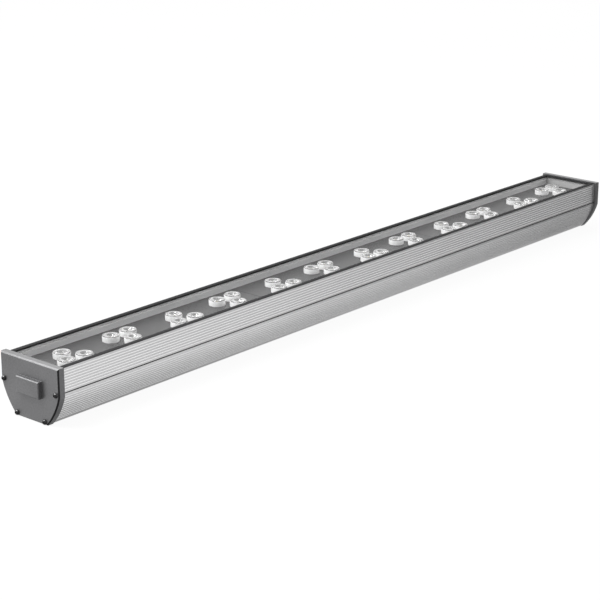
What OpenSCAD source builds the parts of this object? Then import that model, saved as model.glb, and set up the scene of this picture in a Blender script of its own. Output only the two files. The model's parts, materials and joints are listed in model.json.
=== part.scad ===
// Outdoor wall washer light: a sealed aluminium profile with lens groups under glass.
// X runs along the light, Z points up, and the origin lies under the middle of the two
// end caps, on the plane that their flat feet stand on. All sizes are in millimetres.

/* [Overall] */
// Length over the two end caps, without the raised blocks on them
fixture_len = 1000; // [660:5:1400]

/* [End caps] */
// Width of an end cap
cap_w = 88; // [84:0.5:96]
// Height of an end cap
cap_h = 65; // [63:0.5:76]
// Thickness of an end cap
cap_t = 8; // [6:0.5:12]
// Width of the flat foot of an end cap
cap_foot_w = 47.6; // [46:0.2:56]
// Bevel round the outer face of an end cap
cap_edge = 1.4; // [0.4:0.1:2]
// How far the caps stand proud of the housing at the sides
cap_proud_side = 3.2; // [1:0.1:4]
// How far the caps stand proud of the housing at the top
cap_proud_top = 1.9; // [1:0.1:3]
// How far the caps stand below the housing
cap_proud_foot = 1.5; // [0.5:0.1:3]
// How far the caps stand proud of the bottom corners of the housing
cap_proud_corner = 0.4; // [0.2:0.1:1.5]
// Width of the raised block on a cap
block_w = 34.3; // [24:0.1:44]
// Height of the raised block
block_h = 18.3; // [16:0.1:24]
// How far the raised block stands out
block_proud = 5; // [2:0.5:8]
// Bevel round the raised block
block_edge = 0.9; // [0.3:0.1:1.5]
// Height of the middle of the block above the foot
block_mid_h = 37.2; // [31:0.1:41]
// Distance of the block from the middle of the cap
block_aside = 1.3; // [0:0.1:3]

/* [Housing profile] */
// Height of the straight upper part of the side walls
side_straight_h = 28.5; // [27.5:0.1:34]
// Radius of the rounded lower part of the side walls and of the end caps
belly_r = 80; // [60:1:120]
// Thickness of the side walls round the driver
lower_wall_t = 2.6; // [2:0.1:3.2]
// Thickness of the side walls beside the lenses
upper_wall_t = 3.6; // [2.6:0.1:4.4]
// Thickness of the floor
floor_t = 2.5; // [2:0.1:3.5]
// Thickness of the deck that carries the boards
deck_t = 2.5; // [1.5:0.1:4]
// Depth from the underside of the glass to the deck
chamber_depth = 9.5; // [9.2:0.1:14]
// Spacing of the grooves in the side walls
groove_pitch = 2.96; // [2.4:0.02:4]
// Depth of a groove
groove_depth = 0.4; // [0.2:0.1:0.8]
// Radius of the round cutter that shapes a groove
groove_r = 0.9; // [0.8:0.05:1.1]
// Grooves above the screw channel on each side
upper_grooves = 8; // [4:1:8]

/* [Glazing] */
// Thickness of the cover glass
glass_t = 3; // [2:0.5:5]
// Depth of the glass below the top edge of the housing
glass_drop = 1.4; // [1:0.1:2.5]
// Gap round the edges of the glass
glass_gap = 0.6; // [0.3:0.1:1]
// Width of the ledge that the glass lies on
ledge_w = 1.6; // [1.2:0.1:3]
// Thickness of that ledge
ledge_t = 1.5; // [1:0.1:2]
// Thickness of the aluminium lip outside the rubber strips
lip_t = 0.5; // [0.5:0.1:1.5]
// Width of a rubber strip
strip_w = 5.6; // [4.9:0.1:7]
// How far a rubber strip stands above the housing
strip_proud = 0.8; // [0.2:0.1:1.5]
// Thickness of the rubber strips across the ends of the glass
end_strip_t = 2; // [1.2:0.1:4]
// How far those end strips stand above the housing
end_strip_proud = 0.6; // [0.2:0.1:1.8]
// Thickness of the gaskets under the end caps
gasket_t = 1; // [0.5:0.1:2]
// How far a gasket lies inside the outline of the housing
gasket_inset = 0.3; // [0.1:0.1:0.8]

/* [Lenses] */
// Distance from the near cap to the middle of the first lens group
first_group_in = 45.6; // [42:0.1:60]
// Distance from the middle of the last lens group to the far cap
last_group_in = 40.1; // [34:0.1:60]
// Distance between the two lenses of a pair
pair_pitch = 24.88; // [20:0.02:30]
// Distance between the front and the rear row of lenses
row_pitch = 20.74; // [20:0.02:24]
// Diameter of a lens holder
holder_d = 19; // [16:0.1:19.4]
// Height of a lens holder
holder_h = 5.9; // [5:0.1:6.4]
// Thickness of the lens rim on top of the holder
rim_t = 1; // [0.6:0.1:1.2]
// Diameter of the hollow in the top of a lens
hollow_d = 9.6; // [6:0.1:11]
// Thickness of the light emitter boards
board_t = 1.6; // [1:0.1:2]
// Gap between neighbouring boards, and from a board to the gasket at the end
board_gap = 0.7; // [0.4:0.1:4]

/* [Screws and inlet] */
// Diameter of the screw channels in the housing
channel_d = 2.5; // [2:0.1:3]
// Wall of the housing round a screw channel
channel_wall = 1.6; // [1:0.1:2]
// Depth of the side channels below the top edge of the housing
channel_drop = 26.4; // [25.6:0.1:27]
// Width of the slit that opens the side channels
channel_slit_w = 1.3; // [0.8:0.1:2.2]
// Diameter of a cap screw's head
head_d = 6; // [4.5:0.1:6.5]
// Height of a cap screw's head
head_h = 3.2; // [2.4:0.1:3.6]
// Length of a cap screw under its head
cap_screw_len = 16; // [14:1:30]
// Diameter of the threaded hole for the cable gland
inlet_d = 12; // [10:0.5:14]
// Diameter of the cable hole through the gland
cable_d = 7; // [5:0.1:7.4]

/* [Mounting track] */
// Width of the mouth of the track in the underside
mouth_w = 7; // [6.6:0.1:8]
// Thickness of the lips beside the mouth
track_lip_t = 2.2; // [1.5:0.1:3]
// Width of the track inside
track_w = 10.8; // [10.4:0.1:12]
// Height of the track inside
track_h = 6; // [5.6:0.1:7]
// Thickness of the walls beside the track
track_wall_t = 2; // [1.5:0.1:3]
// Thickness of the roof over the track
track_roof_t = 3; // [2.6:0.1:4]
// Distance from the end of the light to the middle of a track nut
nut_in = 200; // [60:5:240]
// Length of a track nut
nut_len = 20; // [12:1:40]
// Diameter of the core of the nut's M6 thread
nut_bore_d = 5; // [4.2:0.1:5.2]

/* [Driver] */
// Length of the driver
driver_len = 160; // [120:5:200]
// Height of the driver with its cover
driver_h = 27; // [24:0.5:30]
// Wall of the driver's tray
tray_t = 1.5; // [1:0.1:2]
// Distance from the far cap to the driver
driver_in = 72; // [68:1:90]
// Distance from the far cap to the middle of the terminal block
terminal_in = 40; // [38:0.5:41]
// Distance from the far cap to the earth screw
earth_in = 18; // [14:0.5:20]
// Diameter of the inner leads
lead_d = 1.4; // [1:0.1:1.6]

/* [Hidden] */
group_count = 12;
board_count = 3;
board_letters = ["a", "b", "c"];
cut = 1;
fine_fn = 360;
round_fn = 64;

// Levels and half widths of the housing
end_x = fixture_len / 2;
inner_x = end_x - cap_t;
housing_x = inner_x - gasket_t;
housing_half = cap_w / 2 - cap_proud_side;
housing_top = cap_h - cap_proud_top;
housing_foot = cap_proud_foot;
belly_top = housing_top - side_straight_h;
cap_belly_mid = arc_mid([cap_w / 2, belly_top], [cap_foot_w / 2, 0], belly_r);
housing_foot_half = cap_belly_mid[0] + sqrt(pow(belly_r, 2) - pow(cap_belly_mid[1] - housing_foot, 2))
    - cap_proud_corner;
belly_mid = arc_mid([housing_half, belly_top], [housing_foot_half, housing_foot], belly_r);
chamber_half = housing_half - upper_wall_t;
glass_top = housing_top - glass_drop;
glass_low = glass_top - glass_t;
deck_top = glass_low - chamber_depth;
board_top = deck_top + board_t;
cavity_low = housing_foot + floor_t;
cavity_top = deck_top - deck_t;

// Slots in the side walls that hold the boards by their edges
slot_depth = 1.2;
slot_high_gap = 0.1;
board_side_gap = 0.2;
board_half = chamber_half + slot_depth - board_side_gap;

// Grooves in the side walls
first_groove_drop = 2.3;
first_belly_groove_drop = 1.7;
groove_turn = groove_pitch / belly_r * 180 / PI;
belly_groove_start = asin((belly_top - first_belly_groove_drop - belly_mid[1]) / belly_r);
belly_groove_end = asin((housing_foot - belly_mid[1]) / belly_r);
belly_grooves = floor((belly_groove_start - belly_groove_end) / groove_turn);

// Screw channels, seen from the end
channel_in = 1.6;
foot_channel_in = 3.9;
foot_channel_rise = 2.3;
side_channel = [housing_half - channel_in, housing_top - channel_drop];
foot_channel = [housing_foot_half - foot_channel_in, housing_foot + foot_channel_rise];
channel_spots = [
    side_channel,
    [-side_channel[0], side_channel[1]],
    foot_channel,
    [-foot_channel[0], foot_channel[1]]
];
thread_gap = 0.05;
screw_clearance = 0.45;
screw_hole_d = channel_d + 2 * screw_clearance;
socket_w = 2;
socket_depth = 1.4;
head_skirt_h = 1;

// Rubber strips
strip_in = housing_half - lip_t;
strip_edge = 0.4;

// Mounting track, from the foot of the housing upwards
track_low = housing_foot + track_lip_t;
track_high = track_low + track_h;
track_top = track_high + track_roof_t;
nut_side_gap = 0.4;
nut_low_gap = 0.4;
nut_high_gap = 0.6;
nut_w = track_w - 2 * nut_side_gap;
nut_t = track_h - nut_low_gap - nut_high_gap;
nut_low = track_low + nut_low_gap;
nut_edge = 0.5;

// Lens groups and boards
group_pitch = (2 * inner_x - first_group_in - last_group_in) / (group_count - 1);
groups_per_board = group_count / board_count;
board_len = groups_per_board * group_pitch - board_gap;
row_y = row_pitch / 2;
holder_r = holder_d / 2;
holder_wall = 1.3;
holder_base_t = 0.8;
holder_base_r = 3.6;
lens_gap = 0.2;
lens_rim_in = 0.3;
lens_low = 1;
lens_low_r = 3;
pocket_r = 1.7;
pocket_h = 2.7;
hollow_depth = 3.2;
hollow_low_r = 2.2;
lens_top_edge = 0.5;

// Light emitters
emitter_w = 3.45;
emitter_t = 0.8;
dome_r = 1.3;

// Links between neighbouring boards
link_len = 12;
link_w = 5;
link_h = 2.4;
link_rim_gap = 3.5;

// Cable inlet, measured from the outer face of the block
inlet_depth = 9;
inlet_neck_d = 8;
seal_len = 3.5;
seal_gap = 0.1;
gland_slot_w = 1.6;
gland_slot_depth = 1.2;

// Grommet of the leads, in line with the driver's output
grommet_bore_d = 3.4;
grommet_neck_d = 5;
grommet_flange_d = 7;
grommet_flange_t = 0.8;
grommet_lens_gap = 0.9;
grommet_hole_gap = 0.05;
lead_y = -(row_y + holder_r + grommet_lens_gap + grommet_flange_d / 2);

// Driver and its parts
driver_side_gap = 1.4;
driver_half = belly_mid[0] + sqrt(pow(belly_r - lower_wall_t, 2) - pow(track_top - belly_mid[1], 2))
    - driver_side_gap;
driver_far = inner_x - driver_in;
driver_near = driver_far - driver_len;
cover_t = 1.2;
cover_lip_t = 1;
cover_lip_h = 2.5;
cover_gap = 0.1;
tab_len = 10;
tab_w = 14;
post_d = 4;
post_h = 4;
post_in = 8;
driver_board_gap = 1;
driver_board_t = 1.6;
driver_board_low = track_top + tray_t + post_h;
driver_board_top = driver_board_low + driver_board_t;
core_len = 26;
core_w = 24;
core_h = 13;
core_leg_t = 4;
winding_gap = 0.5;
winding_d = core_len - 2 * (core_leg_t + winding_gap);
core_share = 0.5;
capacitor_d = 10;
capacitor_h = 14;
capacitor_pitch = 12;
capacitor_count = 3;
capacitor_share = 0.2;
capacitor_edge = 0.8;
lead_rise = 13;
lead_z = track_top + lead_rise;
lead_hole_gap = 0.3;
lead_pair_gap = 0.1;
lead_side = (lead_d + lead_pair_gap) / 2;
lead_run = 14;
lead_tail = 2;
lead_x = driver_near - lead_run;
lead_arch = 2.5;
pad_run = 8;
bend_r = 2;
bend_steps = 4;
lead_sides = 8;

// Terminal block and its screws
terminal_x = inner_x - terminal_in;
terminal_len = 14;
terminal_w = 28;
terminal_h = 13;
terminal_pitch = 9;
terminal_well_d = 4.2;
terminal_well_depth = 6;
terminal_entry_rise = 6.5;
terminal_entry_z = track_top + terminal_entry_rise;
terminal_entry_depth = 4;
ear_len = 7;
ear_w = 8;
ear_t = 2.5;
fixing_head_d = 5;
fixing_head_h = 1.8;
fixing_bite = 2.4;
fixing_hole_d = 2.5;
fixing_clear_d = 3.2;

// Earth screw with the ring tag under it
earth_x = inner_x - earth_in;
earth_head_d = 7;
earth_head_h = 2.6;
earth_shank_d = 3.2;
earth_slot_w = 1;
tag_t = 0.8;
tag_d = 8;
tag_hole_d = 4.3;
tag_tail_len = 6.6;
tag_tail_w = 3;

function group_name(kind, i) = str(kind, i < 9 ? "_0" : "_", i + 1);
function unit(v) = v / norm(v);

// Middle of the arc of radius r that bulges outwards from a down to b
function arc_mid(a, b, r) =
    let (d = b - a, l = norm(d), m = (a + b) / 2, s = sqrt(r * r - l * l / 4))
    m + s * [d[1], -d[0]] / l;

// Places of the lens groups, and of the three lenses in each
function group_x(i) = first_group_in - inner_x + i * group_pitch;
function group_spots(i) =
    let (x = group_x(i), s = i % 2 == 0 ? 1 : -1)
    [[x, s * row_y], [x - pair_pitch / 2, -s * row_y], [x + pair_pitch / 2, -s * row_y]];
function board_x(b) = group_x(groups_per_board * (b + 0.5) - 0.5);

// Path with its corners rounded
function bezier(p, c, q, t) = (1 - t) * (1 - t) * p + 2 * t * (1 - t) * c + t * t * q;
function rounded(path, r) = concat(
    [path[0]],
    [
        for (i = [1 : 1 : len(path) - 2])
        let (
            p = path[i] + r * unit(path[i - 1] - path[i]),
            q = path[i] + r * unit(path[i + 1] - path[i])
        )
        for (k = [0 : bend_steps]) bezier(p, path[i], q, k / bend_steps)
    ],
    [path[len(path) - 1]]
);
function heading(path, i) = unit(path[min(i + 1, len(path) - 1)] - path[max(i - 1, 0)]);

// Outline drawn across the light, made as long as the distance between x0 and x1
module along(x0, x1) {
    translate([x0, 0, 0]) rotate([90, 0, 90]) linear_extrude(x1 - x0) children();
}

// Box from one x to another, centred on y, standing on a level
module slab(x0, x1, y_mid, w, low, h) {
    translate([x0, y_mid - w / 2, low]) cube([x1 - x0, w, h]);
}

module at_spot(spot, low) {
    translate([spot[0], spot[1], low]) children();
}

// The same shape turned half round for the far end
module far_end() {
    rotate([0, 0, 180]) children();
}

// Round lead along a path that lies in an upright plane
module lead(path, d) {
    n = lead_sides;
    last = len(path) - 1;
    rings = [
        for (i = [0 : last])
        let (side = [0, 1, 0], up = cross(heading(path, i), side))
        for (k = [0 : n - 1])
        path[i] + d / 2 * (cos(360 * k / n) * side + sin(360 * k / n) * up)
    ];
    walls = [
        for (i = [0 : last - 1])
        for (k = [0 : n - 1])
        let (a = i * n + k, b = i * n + (k + 1) % n)
        each [[a, b, b + n], [a, b + n, a + n]]
    ];
    near = [for (k = [1 : n - 2]) [0, k + 1, k]];
    far = [for (k = [1 : n - 2]) [last * n, last * n + k, last * n + k + 1]];
    polyhedron(rings, concat(walls, near, far));
}

// Outline of the housing, drawn in by a distance
module housing_outline(inset) {
    half = housing_half - inset;
    translate([-half, belly_top]) square([2 * half, housing_top - inset - belly_top]);
    intersection() {
        translate([-half, housing_foot + inset]) square([2 * half, belly_top - housing_foot - inset]);
        translate(belly_mid) circle(r = belly_r - inset, $fn = fine_fn);
        translate([-belly_mid[0], belly_mid[1]]) circle(r = belly_r - inset, $fn = fine_fn);
    }
}

// Room between two levels, open to the same width on both sides
module room(half, low, high) {
    translate([-half, low]) square([2 * half, high - low]);
}

module grooves() {
    out = groove_r - groove_depth;
    for (side = [0, 1]) mirror([side, 0]) {
        for (i = [0 : upper_grooves - 1])
            translate([housing_half + out, housing_top - first_groove_drop - i * groove_pitch])
                circle(r = groove_r, $fn = round_fn);
        for (i = [0 : belly_grooves - 1])
            translate(belly_mid) rotate(belly_groove_start - i * groove_turn)
                translate([belly_r + out, 0]) circle(r = groove_r, $fn = round_fn);
    }
}

// Hollow above the deck: slots for the boards, lens room, ledge, glass and rubber strips
module chamber() {
    room(chamber_half + slot_depth, deck_top, board_top + slot_high_gap);
    room(chamber_half, deck_top, glass_low - ledge_t);
    room(chamber_half - ledge_w, deck_top, glass_low);
    room(chamber_half, glass_low, glass_top);
    room(strip_in, glass_top, housing_top + cut);
}

// Hollow below the deck, round the screw channels and the mounting track
module cavity() {
    track_half = track_w / 2 + track_wall_t;
    difference() {
        intersection() {
            housing_outline(lower_wall_t);
            room(housing_half, cavity_low, cavity_top);
        }
        for (spot = channel_spots)
            translate(spot) circle(r = channel_d / 2 + channel_wall, $fn = round_fn);
        room(track_half, housing_foot, track_top);
    }
}

module channels(d) {
    for (spot = channel_spots) translate(spot) circle(d = d, $fn = round_fn);
}

module channel_slits() {
    for (side = [0, 1]) mirror([side, 0])
        translate([side_channel[0], side_channel[1] - channel_slit_w / 2])
            square([channel_in + cut, channel_slit_w]);
}

module lead_hole(d, low, high) {
    translate([lead_x, lead_y, low - cut]) cylinder(d = d, h = high - low + 2 * cut, $fn = round_fn);
}

module fixing_spots() {
    tab_mid = tab_len / 2;
    ear_mid = (terminal_len + ear_len) / 2;
    for (x = [driver_near - tab_mid, driver_far + tab_mid, terminal_x - ear_mid, terminal_x + ear_mid])
        translate([x, 0, 0]) children();
}

module housing() {
    color("silver") difference() {
        along(-housing_x, housing_x) difference() {
            housing_outline(0);
            grooves();
            chamber();
            cavity();
            channels(channel_d);
            channel_slits();
            room(mouth_w / 2, housing_foot - cut, track_low);
            room(track_w / 2, track_low, track_high);
        }
        lead_hole(grommet_neck_d, cavity_top, deck_top);
        fixing_spots() translate([0, 0, track_high]) {
            cylinder(d = fixing_hole_d, h = track_roof_t + cut, $fn = round_fn);
        }
        translate([earth_x, 0, track_high])
            cylinder(d = earth_shank_d + 2 * thread_gap, h = track_roof_t + cut, $fn = round_fn);
    }
}

// Plate whose outer face lies at x = 0, with a bevel round that face
module bevelled_plate(w, h, t, edge) {
    side = [[edge, 0], [0, edge], [0, h - edge], [edge, h], [t, h], [t, 0]];
    plan = [[edge, -w / 2], [0, edge - w / 2], [0, w / 2 - edge], [edge, w / 2], [t, w / 2], [t, -w / 2]];
    intersection() {
        translate([0, w / 2, 0]) rotate([90, 0, 0]) linear_extrude(w) polygon(side);
        linear_extrude(h) polygon(plan);
    }
}

// Large disc whose rim rounds the lower part of a cap's +Y side, with the cap's bevel on it
module cap_disc() {
    translate([0, cap_belly_mid[0], cap_belly_mid[1]]) rotate([0, 90, 0])
        rotate_extrude($fn = fine_fn) polygon([
            [0, 0],
            [belly_r - cap_edge, 0],
            [belly_r, cap_edge],
            [belly_r, cap_t],
            [0, cap_t]
        ]);
}

// End cap with its outer face at x = 0: straight sides above, rounded sides below
module cap_plate() {
    difference() {
        bevelled_plate(cap_w, cap_h, cap_t, cap_edge);
        difference() {
            slab(-cut, cap_t + cut, 0, cap_w + 2 * cut, -cut, cap_belly_mid[1] + cut);
            intersection() {
                cap_disc();
                mirror([0, 1, 0]) cap_disc();
            }
        }
    }
    translate([-block_proud, -block_aside, block_mid_h - block_h / 2])
        bevelled_plate(block_w, block_h, block_proud + cap_t, block_edge);
}

module cap_screw_holes() {
    for (spot = channel_spots)
        translate([-cut, spot[0], spot[1]]) rotate([0, 90, 0])
            cylinder(d = screw_hole_d, h = cap_t + 2 * cut, $fn = round_fn);
}

module end_cap_near() {
    color("dimgray") translate([-end_x, 0, 0]) difference() {
        cap_plate();
        cap_screw_holes();
    }
}

// Turned so that its +Z runs inwards from the outer face of the far block
module inlet_place() {
    far_end() translate([-end_x - block_proud, -block_aside, block_mid_h]) rotate([0, 90, 0]) children();
}

module end_cap_far() {
    color("dimgray") difference() {
        far_end() translate([-end_x, 0, 0]) difference() {
            cap_plate();
            cap_screw_holes();
        }
        inlet_place() {
            translate([0, 0, -cut]) cylinder(d = inlet_d, h = inlet_depth + cut, $fn = round_fn);
            cylinder(d = inlet_neck_d, h = block_proud + cap_t + cut, $fn = round_fn);
        }
    }
}

module cap_gasket() {
    color("darkgray") along(-inner_x, -housing_x) difference() {
        housing_outline(gasket_inset);
        cavity();
        channels(screw_hole_d);
    }
}

module cap_gasket_near() {
    cap_gasket();
}

module cap_gasket_far() {
    far_end() cap_gasket();
}

// Round head with a straight skirt and a hexagon socket, its seat at x = 0 and its shank along +X
module cap_screw() {
    dome_h = head_h - head_skirt_h;
    ball_r = (pow(head_d / 2, 2) + pow(dome_h, 2)) / (2 * dome_h);
    difference() {
        intersection() {
            translate([ball_r - head_h, 0, 0]) sphere(r = ball_r, $fn = round_fn);
            translate([-head_h, 0, 0]) rotate([0, 90, 0]) cylinder(d = head_d, h = head_h, $fn = round_fn);
        }
        translate([-head_h - cut, 0, 0]) rotate([0, 90, 0])
            cylinder(d = socket_w / cos(30), h = socket_depth + cut, $fn = 6);
    }
    rotate([0, 90, 0]) cylinder(d = channel_d - 2 * thread_gap, h = cap_screw_len, $fn = round_fn);
}

module cap_screws() {
    color([0.08, 0.08, 0.08]) for (spot = channel_spots)
        translate([-end_x, spot[0], spot[1]]) cap_screw();
}

module cap_screws_near() {
    cap_screws();
}

module cap_screws_far() {
    far_end() cap_screws();
}

module cover_glass() {
    half = chamber_half - glass_gap;
    color([0.8, 0.88, 0.9, 0.4])
        slab(-housing_x + glass_gap, housing_x - glass_gap, 0, 2 * half, glass_low, glass_t);
}

// Rubber strip: a flat bar that covers the edge of the glass and the top of the wall
module glazing_strip() {
    bar_in = strip_in - strip_w;
    top = housing_top + strip_proud;
    color([0.1, 0.1, 0.1]) along(end_strip_t - housing_x, housing_x - end_strip_t) polygon([
        [bar_in, glass_top],
        [bar_in, top - strip_edge],
        [bar_in + strip_edge, top],
        [strip_in - strip_edge, top],
        [strip_in, top - strip_edge],
        [strip_in, glass_top]
    ]);
}

module glazing_strip_front() {
    mirror([0, 1, 0]) glazing_strip();
}

module glazing_strip_rear() {
    glazing_strip();
}

module glazing_end() {
    top = housing_top + end_strip_proud;
    inner = end_strip_t - housing_x;
    color([0.1, 0.1, 0.1]) translate([0, strip_in, 0]) rotate([90, 0, 0])
        linear_extrude(2 * strip_in) polygon([
            [-housing_x, glass_top],
            [-housing_x, top],
            [inner - strip_edge, top],
            [inner, top - strip_edge],
            [inner, glass_top]
        ]);
}

module glazing_end_near() {
    glazing_end();
}

module glazing_end_far() {
    far_end() glazing_end();
}

// Board of one third of the groups; the outer boards stop before the gaskets
module led_board(b) {
    end = housing_x - board_gap;
    x0 = max(board_x(b) - board_len / 2, -end);
    x1 = min(board_x(b) + board_len / 2, end);
    color([0.36, 0.37, 0.38]) difference() {
        slab(x0, x1, 0, 2 * board_half, deck_top, board_t);
        lead_hole(grommet_neck_d, deck_top, board_top);
    }
}

// Plug links that bridge the gap from each board to the next
module board_links() {
    y = link_rim_gap + link_w / 2 - chamber_half;
    color("white") for (b = [0 : board_count - 2]) let (seam = (board_x(b) + board_x(b + 1)) / 2)
        slab(seam - link_len / 2, seam + link_len / 2, y, link_w, board_top, link_h);
}

module led() {
    slab(-emitter_w / 2, emitter_w / 2, 0, emitter_w, 0, emitter_t);
    intersection() {
        translate([0, 0, emitter_t]) sphere(r = dome_r, $fn = round_fn);
        translate([-dome_r, -dome_r, emitter_t / 2]) cube([2 * dome_r, 2 * dome_r, 2 * dome_r]);
    }
}

module leds(b) {
    color("gold") for (i = [0 : groups_per_board - 1])
        for (spot = group_spots(b * groups_per_board + i)) at_spot(spot, board_top) led();
}

// Moulded lens: cone round the emitter, rim on the holder, hollow in the top
module lens_trio(i) {
    lens_r = holder_r - holder_wall - lens_gap;
    rim_r = holder_r - lens_rim_in;
    top = holder_h + rim_t;
    color([0.95, 0.97, 1, 0.7]) for (spot = group_spots(i)) at_spot(spot, board_top)
        rotate_extrude($fn = round_fn) polygon([
            [0, pocket_h],
            [pocket_r, pocket_h],
            [pocket_r, lens_low],
            [lens_low_r, lens_low],
            [lens_r, holder_h],
            [rim_r, holder_h],
            [rim_r, top - lens_top_edge],
            [rim_r - lens_top_edge, top],
            [hollow_d / 2, top],
            [hollow_low_r, top - hollow_depth],
            [0, top - hollow_depth]
        ]);
}

// Round cup that stands on the board and carries the rim of the lens
module holder_trio(i) {
    bore_r = holder_r - holder_wall;
    color("whitesmoke") for (spot = group_spots(i)) at_spot(spot, board_top)
        rotate_extrude($fn = round_fn) polygon([
            [holder_base_r, 0],
            [holder_r, 0],
            [holder_r, holder_h],
            [bore_r, holder_h],
            [bore_r - (holder_h - holder_base_t) / 2, holder_base_t],
            [holder_base_r, holder_base_t]
        ]);
}

module lead_grommet() {
    neck_r = grommet_neck_d / 2 - grommet_hole_gap;
    deck_low = cavity_top;
    color([0.2, 0.2, 0.2]) translate([lead_x, lead_y, 0]) rotate_extrude($fn = round_fn) polygon([
        [grommet_bore_d / 2, deck_low - grommet_flange_t],
        [grommet_flange_d / 2, deck_low - grommet_flange_t],
        [grommet_flange_d / 2, deck_low],
        [neck_r, deck_low],
        [neck_r, board_top],
        [grommet_flange_d / 2, board_top],
        [grommet_flange_d / 2, board_top + grommet_flange_t],
        [grommet_bore_d / 2, board_top + grommet_flange_t]
    ]);
}

// Two leads from the driver up through the grommet to the pads of the last board
module output_leads() {
    for (s = [-1, 1]) color(s < 0 ? "firebrick" : "black") translate([0, lead_y + s * lead_side, 0])
        lead(rounded([
            [driver_near + tray_t + lead_tail, 0, lead_z],
            [lead_x, 0, lead_z],
            [lead_x, 0, board_top + lead_arch],
            [lead_x + pad_run, 0, board_top + lead_arch],
            [lead_x + pad_run, 0, board_top]
        ], bend_r), lead_d);
}

// Two supply leads from the terminal block to the driver, and the earth lead to its tag
module input_leads() {
    near_face = terminal_x - terminal_len / 2;
    far_face = terminal_x + terminal_len / 2;
    drop_x = earth_x - tag_tail_len + lead_d / 2;
    for (s = [-1, 1]) color(s < 0 ? "saddlebrown" : "royalblue")
        translate([0, s * terminal_pitch, 0])
            lead([
                [driver_far - tray_t - lead_tail, 0, lead_z],
                [driver_far + lead_d, 0, lead_z],
                [near_face - lead_d, 0, terminal_entry_z],
                [near_face + terminal_entry_depth - lead_d, 0, terminal_entry_z]
            ], lead_d);
    color("limegreen") {
        lead(rounded([
            [far_face - terminal_entry_depth + lead_d, 0, terminal_entry_z],
            [drop_x, 0, terminal_entry_z],
            [drop_x, 0, track_top + tag_t]
        ], lead_d), lead_d);
    }
}

module driver_tray() {
    wall_h = driver_h - cover_t;
    color("gainsboro") {
        difference() {
            slab(driver_near, driver_far, 0, 2 * driver_half, track_top, wall_h);
            slab(driver_near + tray_t, driver_far - tray_t, 0, 2 * (driver_half - tray_t),
                track_top + tray_t, wall_h);
            for (s = [-1, 1]) {
                tray_lead_hole(driver_near, lead_y + s * lead_side);
                tray_lead_hole(driver_far - tray_t, s * terminal_pitch);
            }
        }
        for (x = [driver_near - tab_len, driver_far]) difference() {
            slab(x, x + tab_len, 0, tab_w, track_top, tray_t);
            fixing_spots() translate([0, 0, track_top - cut])
                cylinder(d = fixing_clear_d, h = tray_t + 2 * cut, $fn = round_fn);
        }
        for (x = [driver_near + post_in, driver_far - post_in], s = [-1, 1])
            translate([x, s * (driver_half - post_in), track_top])
                cylinder(d = post_d, h = tray_t + post_h, $fn = round_fn);
    }
}

module tray_lead_hole(x, y) {
    translate([x - cut, y, lead_z]) rotate([0, 90, 0])
        cylinder(d = lead_d + 2 * lead_hole_gap, h = tray_t + 2 * cut, $fn = round_fn);
}

module driver_cover() {
    top = track_top + driver_h;
    lip_gap = tray_t + cover_gap;
    lip_half = driver_half - lip_gap;
    color("lightgray") {
        slab(driver_near, driver_far, 0, 2 * driver_half, top - cover_t, cover_t);
        difference() {
            slab(driver_near + lip_gap, driver_far - lip_gap, 0, 2 * lip_half,
                top - cover_t - cover_lip_h, cover_lip_h + cover_t / 2);
            slab(driver_near + lip_gap + cover_lip_t, driver_far - lip_gap - cover_lip_t, 0,
                2 * (lip_half - cover_lip_t), top - cover_t - cover_lip_h - cut, cover_lip_h + cut);
        }
    }
}

module driver_board() {
    inset = tray_t + driver_board_gap;
    color("seagreen") slab(driver_near + inset + lead_tail, driver_far - inset - lead_tail, 0,
        2 * (driver_half - inset), driver_board_low, driver_board_t);
}

// Ferrite core with a round winding between its legs
module driver_transformer() {
    x = driver_near + core_share * driver_len;
    color("darkgoldenrod") {
        difference() {
            slab(x - core_len / 2, x + core_len / 2, 0, core_w, driver_board_top, core_h);
            slab(x - core_len / 2 + core_leg_t, x + core_len / 2 - core_leg_t, 0, core_w + 2 * cut,
                driver_board_top + core_leg_t / 2, core_h - core_leg_t);
        }
        translate([x, 0, driver_board_top]) cylinder(d = winding_d, h = core_h, $fn = round_fn);
    }
}

// Round capacitors in a row, with bevelled tops
module driver_capacitors() {
    color("midnightblue") for (k = [0 : capacitor_count - 1])
        translate([driver_near + capacitor_share * driver_len,
            (k - (capacitor_count - 1) / 2) * capacitor_pitch, driver_board_top])
            rotate_extrude($fn = round_fn) polygon([
                [0, 0],
                [capacitor_d / 2, 0],
                [capacitor_d / 2, capacitor_h - capacitor_edge],
                [capacitor_d / 2 - capacitor_edge, capacitor_h],
                [0, capacitor_h]
            ]);
}

module terminal_block() {
    near_face = terminal_x - terminal_len / 2;
    color("ivory") difference() {
        union() {
            slab(near_face, near_face + terminal_len, 0, terminal_w, track_top, terminal_h);
            slab(near_face - ear_len, near_face + terminal_len + ear_len, 0, ear_w, track_top, ear_t);
        }
        fixing_spots() translate([0, 0, track_top - cut])
            cylinder(d = fixing_clear_d, h = ear_t + 2 * cut, $fn = round_fn);
        for (k = [-1, 0, 1]) translate([terminal_x, k * terminal_pitch, track_top + terminal_h])
            translate([0, 0, -terminal_well_depth])
                cylinder(d = terminal_well_d, h = terminal_well_depth + cut, $fn = round_fn);
        for (k = [-1, 0, 1], x = [near_face - cut, near_face + terminal_len - terminal_entry_depth])
            translate([x, k * terminal_pitch, terminal_entry_z]) rotate([0, 90, 0])
                cylinder(d = lead_d + 2 * lead_hole_gap, h = terminal_entry_depth + cut, $fn = round_fn);
    }
}

// Pan-head screw that points down, with its seat on a level
module fixing_screw(seat) {
    reach = seat - track_top + fixing_bite;
    translate([0, 0, seat]) cylinder(d = fixing_head_d, h = fixing_head_h, $fn = round_fn);
    translate([0, 0, seat - reach])
        cylinder(d = fixing_hole_d - 2 * thread_gap, h = reach + fixing_head_h / 2, $fn = round_fn);
}

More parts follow.
